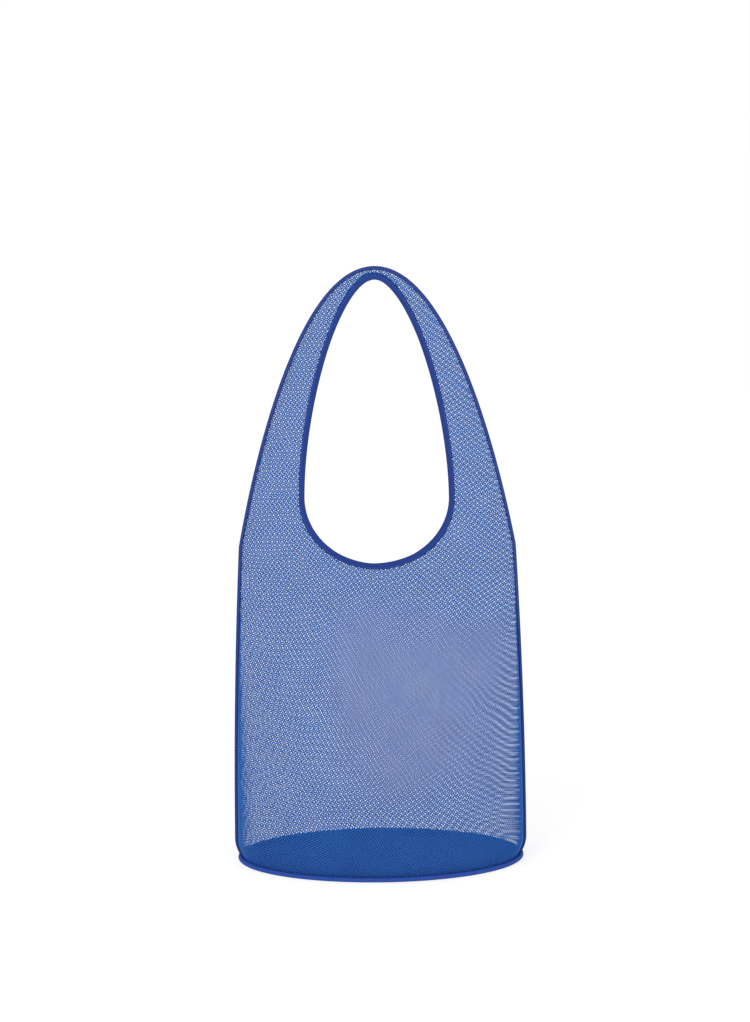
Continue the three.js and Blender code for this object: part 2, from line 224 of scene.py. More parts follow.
def depth_profile():
    """Half depth and height of the standing body, from the foot up to the front mouth."""
    foot = (PIPING_HIGH.y - FOOT_INSET, FOOT_HEIGHT)
    rim = (foot[0], RIM_HEIGHT)
    bulge = (BODY_DEPTH / 2 - FABRIC / 2, BULGE_HEIGHT)
    mouth = (MOUTH_GAPE / 2, MOUTH_BOTTOM[FRONT])
    return np.vstack([
        bezier(foot, rim),
        swell(rim, bulge),
        bezier(bulge, (bulge[0], bulge[1] + FLANK_REACH), (mouth[0], mouth[1] - FLANK_REACH), mouth)])


WIDTHS = width_profile()
DEPTHS = depth_profile()


def half_width(height):
    """Half the bag's width at a height."""
    return np.maximum(np.interp(height, WIDTHS[:, 1], WIDTHS[:, 0]), SMALLEST)


def half_depth(height):
    """Half the bag's depth at a height: above the mouth it closes as the handle narrows."""
    narrowing = half_width(height) / half_width(MOUTH_BOTTOM[FRONT])
    above = np.where(height > MOUTH_BOTTOM[FRONT], narrowing, 1)
    return np.interp(height, DEPTHS[:, 1], DEPTHS[:, 0]) * above


def smooth(value, low, high):
    """Goes smoothly from 0 at a low value to 1 at a high one."""
    share = np.clip((value - low) / (high - low), 0, 1)
    return share * share * (3 - 2 * share)


def folds(share, height, facing, depth):
    """How far the soft folds push a panel out: they die away at the side seams, the foot and the handle."""
    rise = height / HEIGHT
    broad = np.sin(2 * math.pi * (1.15 * share + 0.8 * rise + 0.12 * facing))
    slanting = np.sin(2 * math.pi * (1.9 * share - 1.4 * rise + 0.3 * facing))
    held = (1 - share ** 2) ** 2 * smooth(height, *FOLDS_GROW)
    slack = 1 - 0.75 * smooth(height, *FOLDS_FADE)
    return depth * held * slack * (0.6 * broad + 0.4 * slanting)


def outward_directions(points):
    """Unit directions out of a panel at the points of its grid."""
    across = np.gradient(points, axis=1)
    upward = np.gradient(points, axis=0)
    normals = np.cross(across, upward)
    return normals / np.maximum(np.linalg.norm(normals, axis=2, keepdims=True), 1e-15)


def panel_form(facing, fold):
    """A panel's grid of points, the directions out of it and its cloth's half width at each level."""
    rows = []
    halves = []
    for width, depth in zip(half_width(LEVELS), half_depth(LEVELS)):
        speed = np.hypot(width * np.cos(QUARTER), depth * np.sin(QUARTER))
        steps = (speed[1:] + speed[:-1]) / 2 * np.diff(QUARTER)
        lengths = np.concatenate([[0], np.cumsum(steps)])
        angle = np.interp(np.abs(SHARES) * lengths[-1], lengths, QUARTER)
        rows.append(np.column_stack([
            -facing * np.sign(SHARES) * width * np.sin(angle),
            facing * (depth * np.cos(angle) + PANEL_GAP / 2)]))
        halves.append(lengths[-1])
    flat = np.array(rows)
    heights = np.broadcast_to(LEVELS[:, None], flat.shape[:2])
    points = np.dstack([flat, heights])
    push = folds(SHARES[None, :], heights, facing, fold)
    points = points + outward_directions(points) * push[..., None]
    return points, outward_directions(points), np.array(halves)


def lay(form, across, height):
    """Points of the flat cloth where they lie on a panel, and the directions out of it there."""
    points, outward, halves = form
    row = np.clip((height - LEVELS[0]) / (LEVELS[1] - LEVELS[0]), 0, len(LEVELS) - 1.001)
    share = across / np.interp(height, LEVELS, halves)
    column = np.clip((share + 1) / 2 * (len(SHARES) - 1), 0, len(SHARES) - 1.001)
    i = row.astype(int)
    j = column.astype(int)
    p = (row - i)[:, None]
    q = (column - j)[:, None]
    lower = [table[i, j] * (1 - q) + table[i, j + 1] * q for table in (points, outward)]
    upper = [table[i + 1, j] * (1 - q) + table[i + 1, j + 1] * q for table in (points, outward)]
    return [a * (1 - p) + b * p for a, b in zip(lower, upper)]


def evenly(points, spacing, closed):
    """Points at about an even spacing along a line."""
    line = np.vstack([points, points[:1]]) if closed else np.asarray(points)
    lengths = np.concatenate([[0], np.cumsum(np.linalg.norm(np.diff(line, axis=0), axis=1))])
    count = max(3, round(lengths[-1] / spacing))
    at = np.linspace(0, lengths[-1], count + 1)
    if closed:
        at = at[:-1]
    return np.column_stack([np.interp(at, lengths, line[:, k]) for k in range(line.shape[1])])


def directions(points, closed):
    """Unit directions along a line at its points."""
    if closed:
        along = np.roll(points, -1, axis=0) - np.roll(points, 1, axis=0)
    else:
        along = np.gradient(points, axis=0)
    return unit(along)


def unit(vectors):
    """Rows of numbers brought to length 1."""
    return vectors / np.linalg.norm(vectors, axis=1, keepdims=True)


def mouth_half_outline(facing):
    """Right half of a mouth's edge on the flat cloth, from its lowest point up to its top."""
    bottom = MOUTH_BOTTOM[facing]
    widest = bottom + MOUTH_CUP
    side = MOUTH_WIDTH / 2
    turn = QUARTER - math.pi / 2
    cup = np.column_stack([side * np.cos(turn), widest + MOUTH_CUP * np.sin(turn)])
    arch = bezier(
        (side, widest), (side, widest + MOUTH_LEG_REACH), (MOUTH_CROWN_REACH, MOUTH_TOP), (0, MOUTH_TOP))
    return np.vstack([cup, arch[1:]])


def mouth_line(facing, spacing, outward=0):
    """A closed line along a mouth's edge on the flat cloth, or that far outside it, and its ways out."""
    right = mouth_half_outline(facing)
    left = right[::-1][1:-1] * (-1, 1)
    line = evenly(np.vstack([right, left]), spacing, True)
    along = directions(line, True)
    out = np.column_stack([along[:, 1], -along[:, 0]])
    return line + out * outward, out


def mouth_half_width(facing, height, outward):
    """Half the width at a height of the line that runs a set distance outside a mouth's edge."""
    line = mouth_line(facing, MOUTH_STEP, outward)[0]
    right = line[line[:, 0] > 0]
    right = right[np.argsort(right[:, 1])]
    return np.interp(height, right[:, 1], right[:, 0], left=0, right=0)


def add(tree, kind, inputs=(), **settings):
    """Adds a node to a tree, sets its properties and fills its inputs with values or links."""
    node = tree.nodes.new(kind)
    for name, value in settings.items():
        setattr(node, name, value)
    for key, value in dict(inputs).items():
        if isinstance(value, bpy.types.NodeSocket):
            tree.links.new(value, node.inputs[key])
        else:
            node.inputs[key].default_value = value
    return node


def new_tree(name, sockets):
    """A geometry node tree with named inputs and one geometry output, its input node and its output node."""
    tree = bpy.data.node_groups.new(name, "GeometryNodeTree")
    for label, kind in sockets.items():
        tree.interface.new_socket(label, in_out="INPUT", socket_type=kind)
    tree.interface.new_socket("Geometry", in_out="OUTPUT", socket_type="NodeSocketGeometry")
    return tree, tree.nodes.new("NodeGroupInput").outputs, tree.nodes.new("NodeGroupOutput").inputs


def grown(name, mesh, tree, values):
    """An object whose mesh a geometry node tree has grown from a starting mesh, as a plain mesh."""
    obj = bpy.data.objects.new(name, mesh)
    bpy.context.scene.collection.objects.link(obj)
    modifier = obj.modifiers.new(tree.name, "NODES")
    modifier.node_group = tree
    for item in tree.interface.items_tree:
        if item.in_out == "INPUT" and item.name in values:
            modifier[item.identifier] = values[item.name]
    obj.update_tag()
    depsgraph = bpy.context.evaluated_depsgraph_get()
    obj.data = bpy.data.meshes.new_from_object(obj.evaluated_get(depsgraph), depsgraph=depsgraph)
    obj.modifiers.clear()
    obj.data.name = name
    bpy.data.meshes.remove(mesh)
    return obj


def face_outwards(mesh):
    """Turns every face of a closed mesh outwards."""
    shell = bmesh.new()
    shell.from_mesh(mesh)
    bmesh.ops.recalc_face_normals(shell, faces=shell.faces)
    if shell.calc_volume(signed=True) < 0:
        bmesh.ops.reverse_faces(shell, faces=shell.faces)
    shell.to_mesh(mesh)
    shell.free()


def plain(name, points, faces, material, uv=None):
    """An object with a smooth mesh of points and faces, and a UV map in metres where one is given."""
    mesh = bpy.data.meshes.new(name)
    mesh.from_pydata([tuple(p) for p in points], [], faces)
    if uv is not None:
        layer = mesh.uv_layers.new(name="cloth")
        layer.data.foreach_set("uv", np.array(uv, np.float32).ravel())
    mesh.materials.append(material)
    mesh.validate()
    face_outwards(mesh)
    mesh.shade_smooth()
    obj = bpy.data.objects.new(name, mesh)
    bpy.context.scene.collection.objects.link(obj)
    return obj


def sweep(name, stations, section, material, closed):
    """A section drawn along places with their rightward and upward ways; its UV runs along and round it."""
    places, right, up = stations
    count, sides = len(places), len(section)
    points = (
        places[:, None]
        + section[None, :, 0, None] * right[:, None]
        + section[None, :, 1, None] * up[:, None]).reshape(-1, 3)
    line = np.vstack([places, places[:1]])
    along = np.concatenate([[0], np.cumsum(np.linalg.norm(np.diff(line, axis=0), axis=1))])
    ring = np.vstack([section, section[:1]])
    around = np.concatenate([[0], np.cumsum(np.linalg.norm(np.diff(ring, axis=0), axis=1))])
    faces = []
    uv = []
    for i in range(count if closed else count - 1):
        k = (i + 1) % count
        for j in range(sides):
            m = (j + 1) % sides
            faces.append((i * sides + j, i * sides + m, k * sides + m, k * sides + j))
            uv += [
                (along[i], around[j]), (along[i], around[j + 1]),
                (along[i + 1], around[j + 1]), (along[i + 1], around[j])]
    if not closed:
        faces.append(tuple(range(sides))[::-1])
        faces.append(tuple(range((count - 1) * sides, count * sides)))
        uv += [(0, a) for a in around[:-1]][::-1] + [(along[-2], a) for a in around[:-1]]
    return plain(name, points, faces, material, uv)


def ride(obj, slot, *nodes):
    """Puts a finished piece on the bag's one body, in place of the solids it stands for."""
    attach(obj, "root")
    if nodes:
        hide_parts(*nodes)


def stitch_tree():
    """Sews a row of stitches along a line of points that carry the direction out of the cloth."""
    tree, given, result = new_tree("stitch_row", {
        "Line": "NodeSocketGeometry", "Length": "NodeSocketFloat", "Spacing": "NodeSocketFloat",
        "Thickness": "NodeSocketFloat", "Seed": "NodeSocketInt", "Material": "NodeSocketMaterial"})
    curve = add(tree, "GeometryNodeMeshToCurve", {0: given["Line"]})
    places = add(
        tree, "GeometryNodeResampleCurve",
        {0: curve.outputs[0], "Length": given["Spacing"]}, mode="LENGTH")
    along = add(tree, "GeometryNodeInputTangent")
    out = add(tree, "GeometryNodeInputNamedAttribute", {"Name": "out"}, data_type="FLOAT_VECTOR")
    lie = add(
        tree, "FunctionNodeAxesToRotation", {0: along.outputs[0], 1: out.outputs[0]},
        primary_axis="X", secondary_axis="Z")
    tilt = add(
        tree, "FunctionNodeRandomValue",
        {"Min": (0, 0, -STITCH_TILT), "Max": (0, 0, STITCH_TILT), "Seed": given["Seed"]},
        data_type="FLOAT_VECTOR")
    turn = add(tree, "FunctionNodeEulerToRotation", {0: tilt.outputs[0]})
    turned = add(
        tree, "FunctionNodeRotateRotation", {0: lie.outputs[0], 1: turn.outputs[0]}, rotation_space="LOCAL")
    bead = add(tree, "GeometryNodeMeshUVSphere", {"Segments": 6, "Rings": 4, "Radius": 0.5})
    size = add(
        tree, "ShaderNodeCombineXYZ", {0: given["Length"], 1: given["Thickness"], 2: given["Thickness"]})
    stitch = add(tree, "GeometryNodeTransform", {0: bead.outputs[0], "Scale": size.outputs[0]})
    row = add(
        tree, "GeometryNodeInstanceOnPoints",
        {0: places.outputs[0], "Instance": stitch.outputs[0], "Rotation": turned.outputs[0]})
    real = add(tree, "GeometryNodeRealizeInstances", {0: row.outputs[0]})
    rounded = add(tree, "GeometryNodeSetShadeSmooth", {0: real.outputs[0]})
    done = add(tree, "GeometryNodeSetMaterial", {0: rounded.outputs[0], "Material": given["Material"]})
    tree.links.new(done.outputs[0], result[0])
    return tree


def lines_on_cloth(name, rows):
    """A mesh of lines, each given by its points, the ways out of the cloth there and whether it closes."""
    edges = []
    start = 0
    for line, _, closed in rows:
        count = len(line)
        edges += [(start + i, start + i + 1) for i in range(count - 1)]
        if closed:
            edges.append((start + count - 1, start))
        start += count
    mesh = bpy.data.meshes.new(name)
    mesh.from_pydata(np.vstack([row[0] for row in rows]).tolist(), edges, [])
    attribute = mesh.attributes.new("out", "FLOAT_VECTOR", "POINT")
    attribute.data.foreach_set("vector", np.vstack([row[1] for row in rows]).astype(np.float32).ravel())
    return mesh


def stitching(name, rows, sizes, material):
    """One piece with stitches along the lines of several rows."""
    tree = bpy.data.node_groups.get("stitch_row") or stitch_tree()
    return grown(name, lines_on_cloth("stitch_lines", rows), tree, {
        "Length": sizes.stitch_length, "Spacing": sizes.stitch_spacing,
        "Thickness": sizes.stitch_thickness, "Seed": sizes.seed, "Material": material})


def net_tree():
    """Spins flattened yarns along lines of points that carry the direction out of the cloth."""
    tree, given, result = new_tree("yarns", {
        "Lines": "NodeSocketGeometry", "Width": "NodeSocketFloat", "Thickness": "NodeSocketFloat",
        "Material": "NodeSocketMaterial"})
    paths = add(tree, "GeometryNodeMeshToCurve", {0: given["Lines"]})
    out = add(tree, "GeometryNodeInputNamedAttribute", {"Name": "out"}, data_type="FLOAT_VECTOR")
    laid = add(
        tree, "GeometryNodeSetCurveNormal", {0: paths.outputs[0], "Normal": out.outputs[0]}, mode="FREE")
    ring = add(tree, "GeometryNodeCurvePrimitiveCircle", {"Resolution": 4, "Radius": 0.5})
    size = add(tree, "ShaderNodeCombineXYZ", {0: given["Thickness"], 1: given["Width"], 2: 1.0})
    section = add(tree, "GeometryNodeTransform", {0: ring.outputs[0], "Scale": size.outputs[0]})
    yarns = add(
        tree, "GeometryNodeCurveToMesh",
        {0: laid.outputs[0], "Profile Curve": section.outputs[0], "Fill Caps": True})
    rounded = add(tree, "GeometryNodeSetShadeSmooth", {0: yarns.outputs[0]})
    real = add(tree, "GeometryNodeRealizeInstances", {0: rounded.outputs[0]})
    done = add(tree, "GeometryNodeSetMaterial", {0: real.outputs[0], "Material": given["Material"]})
    tree.links.new(done.outputs[0], result[0])
    return tree


def strayed(points, amount, seed):
    """Points of the flat cloth as its slack pulls them a little out of line."""
    waves = np.random.default_rng(seed)
    moved = points.copy()
    for _ in range(6):
        run = waves.normal(size=2) * 2 * math.pi / SLACK_WAVE
        move = waves.normal(size=2) * amount / 3
        moved += np.sin(points @ run + waves.uniform(0, 2 * math.pi))[:, None] * move
    return moved


def yarn_runs(facing, sizes, halves, slant, trim):
    """Pieces of the yarns of one slant on the flat cloth, each from one edge of it to another."""
    low, high = LEVELS[0], LEVELS[-1]
    way = np.array([math.sin(slant), math.cos(slant)])
    aside = np.array([math.cos(slant), -math.sin(slant)])
    reach = math.hypot(halves.max(), (high - low) / 2)
    along = np.arange(-reach, reach, CUT_STEP)[:, None] * way
    mouth = mouth_half_width(facing, LEVELS, trim)
    count = math.ceil(reach / sizes.cell)
    runs = []
    for place in sizes.cell * np.arange(-count, count + 1):
        straight = along + place * aside + (0, (low + high) / 2)
        line = strayed(straight, sizes.unevenness, sizes.seed + facing)
        across, height = np.abs(line[:, 0]), line[:, 1]
        inside = (height >= low) & (height <= high) & (across <= np.interp(height, LEVELS, halves))
        inside &= across >= np.interp(height, LEVELS, mouth)
        turns = np.flatnonzero(np.diff(np.concatenate([[False], inside, [False]]).astype(int)))
        for start, stop in turns.reshape(-1, 2):
            length = (stop - start) * CUT_STEP
            if length > sizes.cell:
                pieces = max(1, round(length / YARN_STEP))
                picked = np.linspace(start, stop - 1, pieces + 1).round().astype(int)
                runs.append(line[picked])
    return runs


def new_material(name):
    """A material with an empty tree of nodes and a Principled shader, which is returned with the tree."""
    material = bpy.data.materials.new(name)
    material.use_nodes = True
    tree = material.node_tree
    tree.nodes.clear()
    shader = add(tree, "ShaderNodeBsdfPrincipled")
    add(tree, "ShaderNodeOutputMaterial", {"Surface": shader.outputs[0]})
    return material, tree, shader


def shade(colour, share):
    """A colour made lighter or darker, with full opacity."""
    return [min(1, c * share) for c in colour] + [1]


def nylon_yarn(colour):
    """Twisted nylon yarn: dull strands with a soft sheen, and small shifts of dye along the cloth."""
    material, tree, shader = new_material("nylon_yarn")
    where = add(tree, "ShaderNodeTexCoord").outputs["Object"]
    dye = add(tree, "ShaderNodeTexNoise", {"Vector": where, "Scale": 1 / (45 * MM), "Detail": 3.0}).outputs[0]
    tone = add(
        tree, "ShaderNodeMix",
        {0: dye, 6: shade(colour, 0.86), 7: shade(colour, 1.16)}, data_type="RGBA").outputs[2]
    # The twist of the yarn, with a turn every half millimetre
    twist = add(
        tree, "ShaderNodeTexWave",
        {"Vector": where, "Scale": 0.1 * math.pi / (0.5 * MM), "Distortion": 2.0, "Detail": 1.0},
        bands_direction="DIAGONAL").outputs[1]
    relief = add(tree, "ShaderNodeBump", {"Strength": 0.6, "Distance": 0.08 * MM, "Height": twist}).outputs[0]
    tree.links.new(tone, shader.inputs["Base Color"])
    tree.links.new(relief, shader.inputs["Normal"])
    shader.inputs["Roughness"].default_value = 0.62
    shader.inputs["IOR"].default_value = 1.53
    shader.inputs["Specular IOR Level"].default_value = 0.2
    return material


def woven(name, colour, spacing, turn, depth, roughness, ribbed):
    """Woven cloth, with painted shade in the hollows of its weave, read from the piece's own UV map in
    metres.

    A ribbed tape has ribs across its length. Other cloth is a plain weave, whose threads pass over and under.
    """
    material, tree, shader = new_material(name)
    cloth = add(tree, "ShaderNodeUVMap", uv_map="cloth").outputs[0]
    laid = add(tree, "ShaderNodeMapping", {"Vector": cloth, "Rotation": (0, 0, turn)}).outputs[0]
    # A wave texture repeats every pi / 10 units at scale 1.
    bands = 0.1 * math.pi / spacing
    warp = add(tree, "ShaderNodeTexWave", {"Vector": laid, "Scale": bands}, bands_direction="X").outputs[1]
    weft = add(tree, "ShaderNodeTexWave", {"Vector": laid, "Scale": bands}, bands_direction="Y").outputs[1]
    if ribbed:
        # The fine threads along the tape break its ribs up a little.
        grain = add(tree, "ShaderNodeMath", {0: weft, 1: 0.3, 2: 0.7}, operation="MULTIPLY_ADD").outputs[0]
        weave = add(tree, "ShaderNodeMath", {0: warp, 1: grain}, operation="MULTIPLY").outputs[0]
    else:
        one = add(tree, "ShaderNodeMath", {0: warp, 1: 0.5}, operation="SUBTRACT").outputs[0]
        other = add(tree, "ShaderNodeMath", {0: weft, 1: 0.5}, operation="SUBTRACT").outputs[0]
        crossing = add(tree, "ShaderNodeMath", {0: one, 1: other}, operation="MULTIPLY").outputs[0]
        weave = add(
            tree, "ShaderNodeMath", {0: crossing, 1: 2.0, 2: 0.5}, operation="MULTIPLY_ADD").outputs[0]
    slub = add(tree, "ShaderNodeTexNoise", {"Vector": laid, "Scale": 1 / (9 * MM), "Detail": 3.0}).outputs[0]
    tone = add(tree, "ShaderNodeMath", {0: slub, 1: 0.6, 2: -0.1}, operation="MULTIPLY_ADD").outputs[0]
    # Painted shade: the colour darkens where the weave sinks into its hollows, and the slubs add a random
    # tone.
    light = add(tree, "ShaderNodeMath", {0: weave, 1: 0.6, 2: tone}, operation="MULTIPLY_ADD").outputs[0]
    dye_with_painted_shade = add(
        tree, "ShaderNodeMix",
        {0: light, 6: shade(colour, 0.72), 7: shade(colour, 1.26)}, data_type="RGBA").outputs[2]
    relief = add(tree, "ShaderNodeBump", {"Strength": 0.9, "Distance": depth, "Height": weave}).outputs[0]
    rough = add(
        tree, "ShaderNodeMath", {0: slub, 1: 0.2, 2: roughness - 0.1}, operation="MULTIPLY_ADD").outputs[0]
    tree.links.new(dye_with_painted_shade, shader.inputs["Base Color"])
    tree.links.new(relief, shader.inputs["Normal"])
    tree.links.new(rough, shader.inputs["Roughness"])
    shader.inputs["IOR"].default_value = 1.5
    shader.inputs["Specular IOR Level"].default_value = 0.15
    return material


def sewing_thread(colour):
    """Twisted polyester sewing thread: a little glossier than the cloth, with fine shifts of tone."""
    material, tree, shader = new_material("sewing_thread")
    where = add(tree, "ShaderNodeTexCoord").outputs["Object"]
    twist = add(
        tree, "ShaderNodeTexNoise", {"Vector": where, "Scale": 1 / (1.5 * MM), "Detail": 1.0}).outputs[0]
    tone = add(
        tree, "ShaderNodeMix",
        {0: twist, 6: shade(colour, 0.85), 7: shade(colour, 1.15)}, data_type="RGBA").outputs[2]
    tree.links.new(tone, shader.inputs["Base Color"])
    shader.inputs["Roughness"].default_value = 0.5
    shader.inputs["IOR"].default_value = 1.55
    shader.inputs["Specular IOR Level"].default_value = 0.25
    return material


def thread_material(colours):
    """The sewing thread, made once for all rows."""
    return bpy.data.materials.get("sewing_thread") or sewing_thread(colours.thread)


class MESHBAG_OT_panels(bpy.types.Operator):
    """Lay the crossing yarns of the front and back net panels"""

    bl_idname = "mesh_bag.panels"
    bl_label = "Net panels"

    def execute(self, context):
        sizes = context.scene.mesh_bag_sizes
        material = nylon_yarn(context.scene.mesh_bag_colours.net)
        tree = net_tree()
        level = LEVELS[1] - LEVELS[0]
        # The net runs on under the mouth's tape, about to the middle of its width.
        trim = 0.45 * sizes.binding_width
        # Both panels are cut with their grain leaning, so that their holes don't line up.
        for facing, name in ((FRONT, "front"), (BACK, "back")):
            form = panel_form(facing, sizes.fold)
            halves = form[2]
            rows = []
            for side in (1, -1):
                for run in yarn_runs(facing, sizes, halves, GRAIN + side * SLANT, trim):
                    places, out = lay(form, run[:, 0], run[:, 1])
                    # The yarns of one slant lie on those of the other, and their feet reach the base.
                    places = places + out * side * 0.2 * sizes.yarn_thickness
                    places[:, 2] -= np.where(run[:, 1] < LEVELS[0] + level, FOOT_HEIGHT - BASE_HIGH.z, 0)
                    rows.append((places, out, False))
            panel = grown(f"{name}_net", lines_on_cloth("yarn_lines", rows), tree, {
                "Width": sizes.yarn, "Thickness": sizes.yarn_thickness, "Material": material})
            ride(panel, "mesh", f"{name}_panel")
        return {"FINISHED"}


class MESHBAG_OT_bindings(bpy.types.Operator):
    """Fold the tapes round the two mouths and sew them down"""

    bl_idname = "mesh_bag.bindings"
    bl_label = "Mouth bindings"

    def execute(self, context):
        sizes = context.scene.mesh_bag_sizes
        colours = context.scene.mesh_bag_colours
        # Woven polyester tape: fine ribs across a matt band; the ribs are drawn coarser than life, to show.
        material = woven("woven_polyester_tape", colours.binding, 1.3 * MM, 0.0, 0.3 * MM, 0.75, True)
        width = sizes.binding_width
        thick = sizes.binding_thickness / 2
        inner = thick - sizes.tape
        turn = np.linspace(-math.pi / 2, math.pi / 2, 9)
        fold = np.column_stack([thick * np.sin(turn), thick * (1 - np.cos(turn))])
        hollow = np.column_stack([-inner * np.sin(turn), sizes.tape + inner * (1 - np.cos(turn))])
        rows = np.linspace(0, 1, 4)[1:, None]
        side = fold[-1] + rows * (np.array([thick, width]) - fold[-1])
        lining = np.array([inner, width]) + rows * (hollow[0] - (inner, width))
        section = np.vstack([side[::-1] * (-1, 1), fold, side, [[inner, width]], lining[:-1], hollow])
        section = np.vstack([section, lining[:-1][::-1] * (-1, 1), [[-inner, width]]])
        for facing, name in ((FRONT, "front"), (BACK, "back")):
            form = panel_form(facing, sizes.fold)
            line, out = mouth_line(facing, TAPE_STEP)
            edge, right = lay(form, line[:, 0], line[:, 1])
            deep = line + out * width
            up = unit(lay(form, deep[:, 0], deep[:, 1])[0] - edge)
            right = unit(right - up * np.sum(right * up, axis=1, keepdims=True))
            tape = sweep(f"{name}_mouth_tape", (edge, right, up), section, material, True)
            ride(tape, "binding_tape", f"{name}_mouth_binding")
            sewn = edge + up * (width - TAPE_STITCH_INSET)
            stitches = stitching(
                f"{name}_mouth_stitches",
                [(sewn + right * thick, right, True), (sewn - right * thick, -right, True)],
                sizes, thread_material(colours))
            ride(stitches, "binding_tape")
        return {"FINISHED"}


class MESHBAG_OT_side_seam(bpy.types.Operator):
    """Fold the narrow tape over the joined edges of both panels, up one side and down the other"""

    bl_idname = "mesh_bag.side_seam"
    bl_label = "Side seam"

    def execute(self, context):
        sizes = context.scene.mesh_bag_sizes
        colours = context.scene.mesh_bag_colours
        # Narrow woven tape: the same fine ribs as on the mouth's tape, round a tight fold.
        material = woven("narrow_woven_tape", colours.seam, 1.3 * MM, 0.0, 0.3 * MM, 0.75, True)
        clear_of_piping = PIPING_HIGH.z + 0.2 * MM
        right_edge = WIDTHS[WIDTHS[:, 1] >= clear_of_piping]
        left_edge = right_edge[::-1][1:] * (-1, 1)
        line = evenly(np.vstack([right_edge, left_edge]), TAPE_STEP, False)
        along = directions(line, False)
        up = np.column_stack([along[:, 1], 0 * along[:, 0], -along[:, 0]])
        right = np.tile([0.0, 1.0, 0.0], (len(line), 1))
        places = np.column_stack([line[:, 0], 0 * line[:, 0], line[:, 1]])
        thick = sizes.seam_thickness / 2
        turn = np.linspace(0, math.pi, 9)
        rise = 0.8 * thick
        crown = SEAM_INSET - rise
        fold = np.column_stack([thick * np.cos(turn), crown + rise * np.sin(turn)])
        hem = -0.3 * MM
        section = np.vstack([[(thick, hem)], fold, [(-thick, hem)]])
        tape = sweep("side_seam_tape", (places, right, up), section, material, False)
        ride(tape, "binding_tape", "side_seam_binding")
        sewn = places + up * (0.45 * SEAM_INSET)
        stitches = stitching(
            "side_seam_stitches",
            [(sewn + right * thick, right, False), (sewn - right * thick, -right, False)],
            sizes, thread_material(colours))
        ride(stitches, "binding_tape")
        return {"FINISHED"}


class MESHBAG_OT_base(bpy.types.Operator):
    """Make the oval canvas base, its piping and the stitches round it"""

    bl_idname = "mesh_bag.base"
    bl_label = "Base and piping"

    def execute(self, context):
        sizes = context.scene.mesh_bag_sizes
        colours = context.scene.mesh_bag_colours
        # Close-woven canvas, stiffened: a plain weave, drawn at two millimetres so that it shows.
        canvas = woven("close_woven_canvas", colours.canvas, 2 * MM, 0.0, 0.3 * MM, 0.85, False)
        # Bias-cut cloth round a cord: its weave runs on the slant.
        cover = woven("bias_piping_cover", colours.piping, 1.4 * MM, math.pi / 4, 0.25 * MM, 0.8, False)
        turn = np.linspace(0, 2 * math.pi, 161)[:-1]
        # The base runs a little way under the piping that it is sewn to.
        tuck = 1.2 * MM
        oval = np.column_stack([(BASE_HIGH.x + tuck) * np.cos(turn), (BASE_HIGH.y + tuck) * np.sin(turn)])
        top = BASE_HIGH.z
        inward = np.linspace(0.985, 0.04, 18)
        rings = [(0.985, 0), (0.996, 0.15 * top), (1, 0.4 * top), (0.999, 0.7 * top), (0.994, 0.95 * top)]
        rings += [(share, top) for share in inward]
        points = np.vstack([np.column_stack([oval * share, np.full(len(turn), z)]) for share, z in rings])
        # The cloth lies a little uneven over its stiffener.
        x, y = points[:, 0], points[:, 1]
        lies = 0.35 * MM * np.sin(x / (17 * MM)) * np.cos(y / (13 * MM) + x / (31 * MM))
        points[:, 2] -= np.where(points[:, 2] > 0.96 * top, np.abs(lies), 0)
        count = len(turn)
        faces = []
        for i in range(len(rings) - 1):
            for j in range(count):
                k = (j + 1) % count
                faces.append((i * count + j, i * count + k, (i + 1) * count + k, (i + 1) * count + j))
        faces.append(tuple(range((len(rings) - 1) * count, len(rings) * count)))
        faces.append(tuple(range(count))[::-1])
        uv = [points[i, :2] for face in faces for i in face]
        base = plain("canvas_base", points, faces, canvas, uv)
        ride(base, "canvas", "base_panel")

        radius = PIPING_HIGH.z / 2
        line = np.column_stack([
            (PIPING_HIGH.x - radius) * np.cos(turn),
            (PIPING_HIGH.y - radius) * np.sin(turn),
            0 * turn + radius])
        line = evenly(line, PIPING_STEP, True)
        along = directions(line, True)
        up = np.tile([0.0, 0.0, 1.0], (len(line), 1))
        out = np.cross(along, up)
        around = np.linspace(0, 2 * math.pi, 17)[:-1]
        section = radius * np.column_stack([np.cos(around), np.sin(around)])
        piping = sweep("base_piping_cord", (line, out, up), section, cover, True)
        ride(piping, "piping_cord", "base_piping")

        inside = 1 - BASE_STITCH_INSET / BASE_HIGH.y
        path = np.column_stack([oval * inside, 0 * turn])
        above = np.tile([0.0, 0.0, 1.0], (count, 1))
        stitches = stitching(
            "base_stitches",
            [(path + above * top, above, True), (path + above * 0.35 * sizes.stitch_thickness, -above, True)],
            sizes, thread_material(colours))
        ride(stitches, "canvas")
        return {"FINISHED"}


def seen_directly(tree):
    """A value that is 1 for what the camera sees, also in a gloss or through a clear thing, and else 0."""
    rays = add(tree, "ShaderNodeLightPath").outputs
    glossy = add(
        tree, "ShaderNodeMath",
        {0: rays["Is Camera Ray"], 1: rays["Is Glossy Ray"]}, operation="MAXIMUM").outputs[0]
    return add(
        tree, "ShaderNodeMath", {0: glossy, 1: rays["Is Transmission Ray"]}, operation="MAXIMUM").outputs[0]


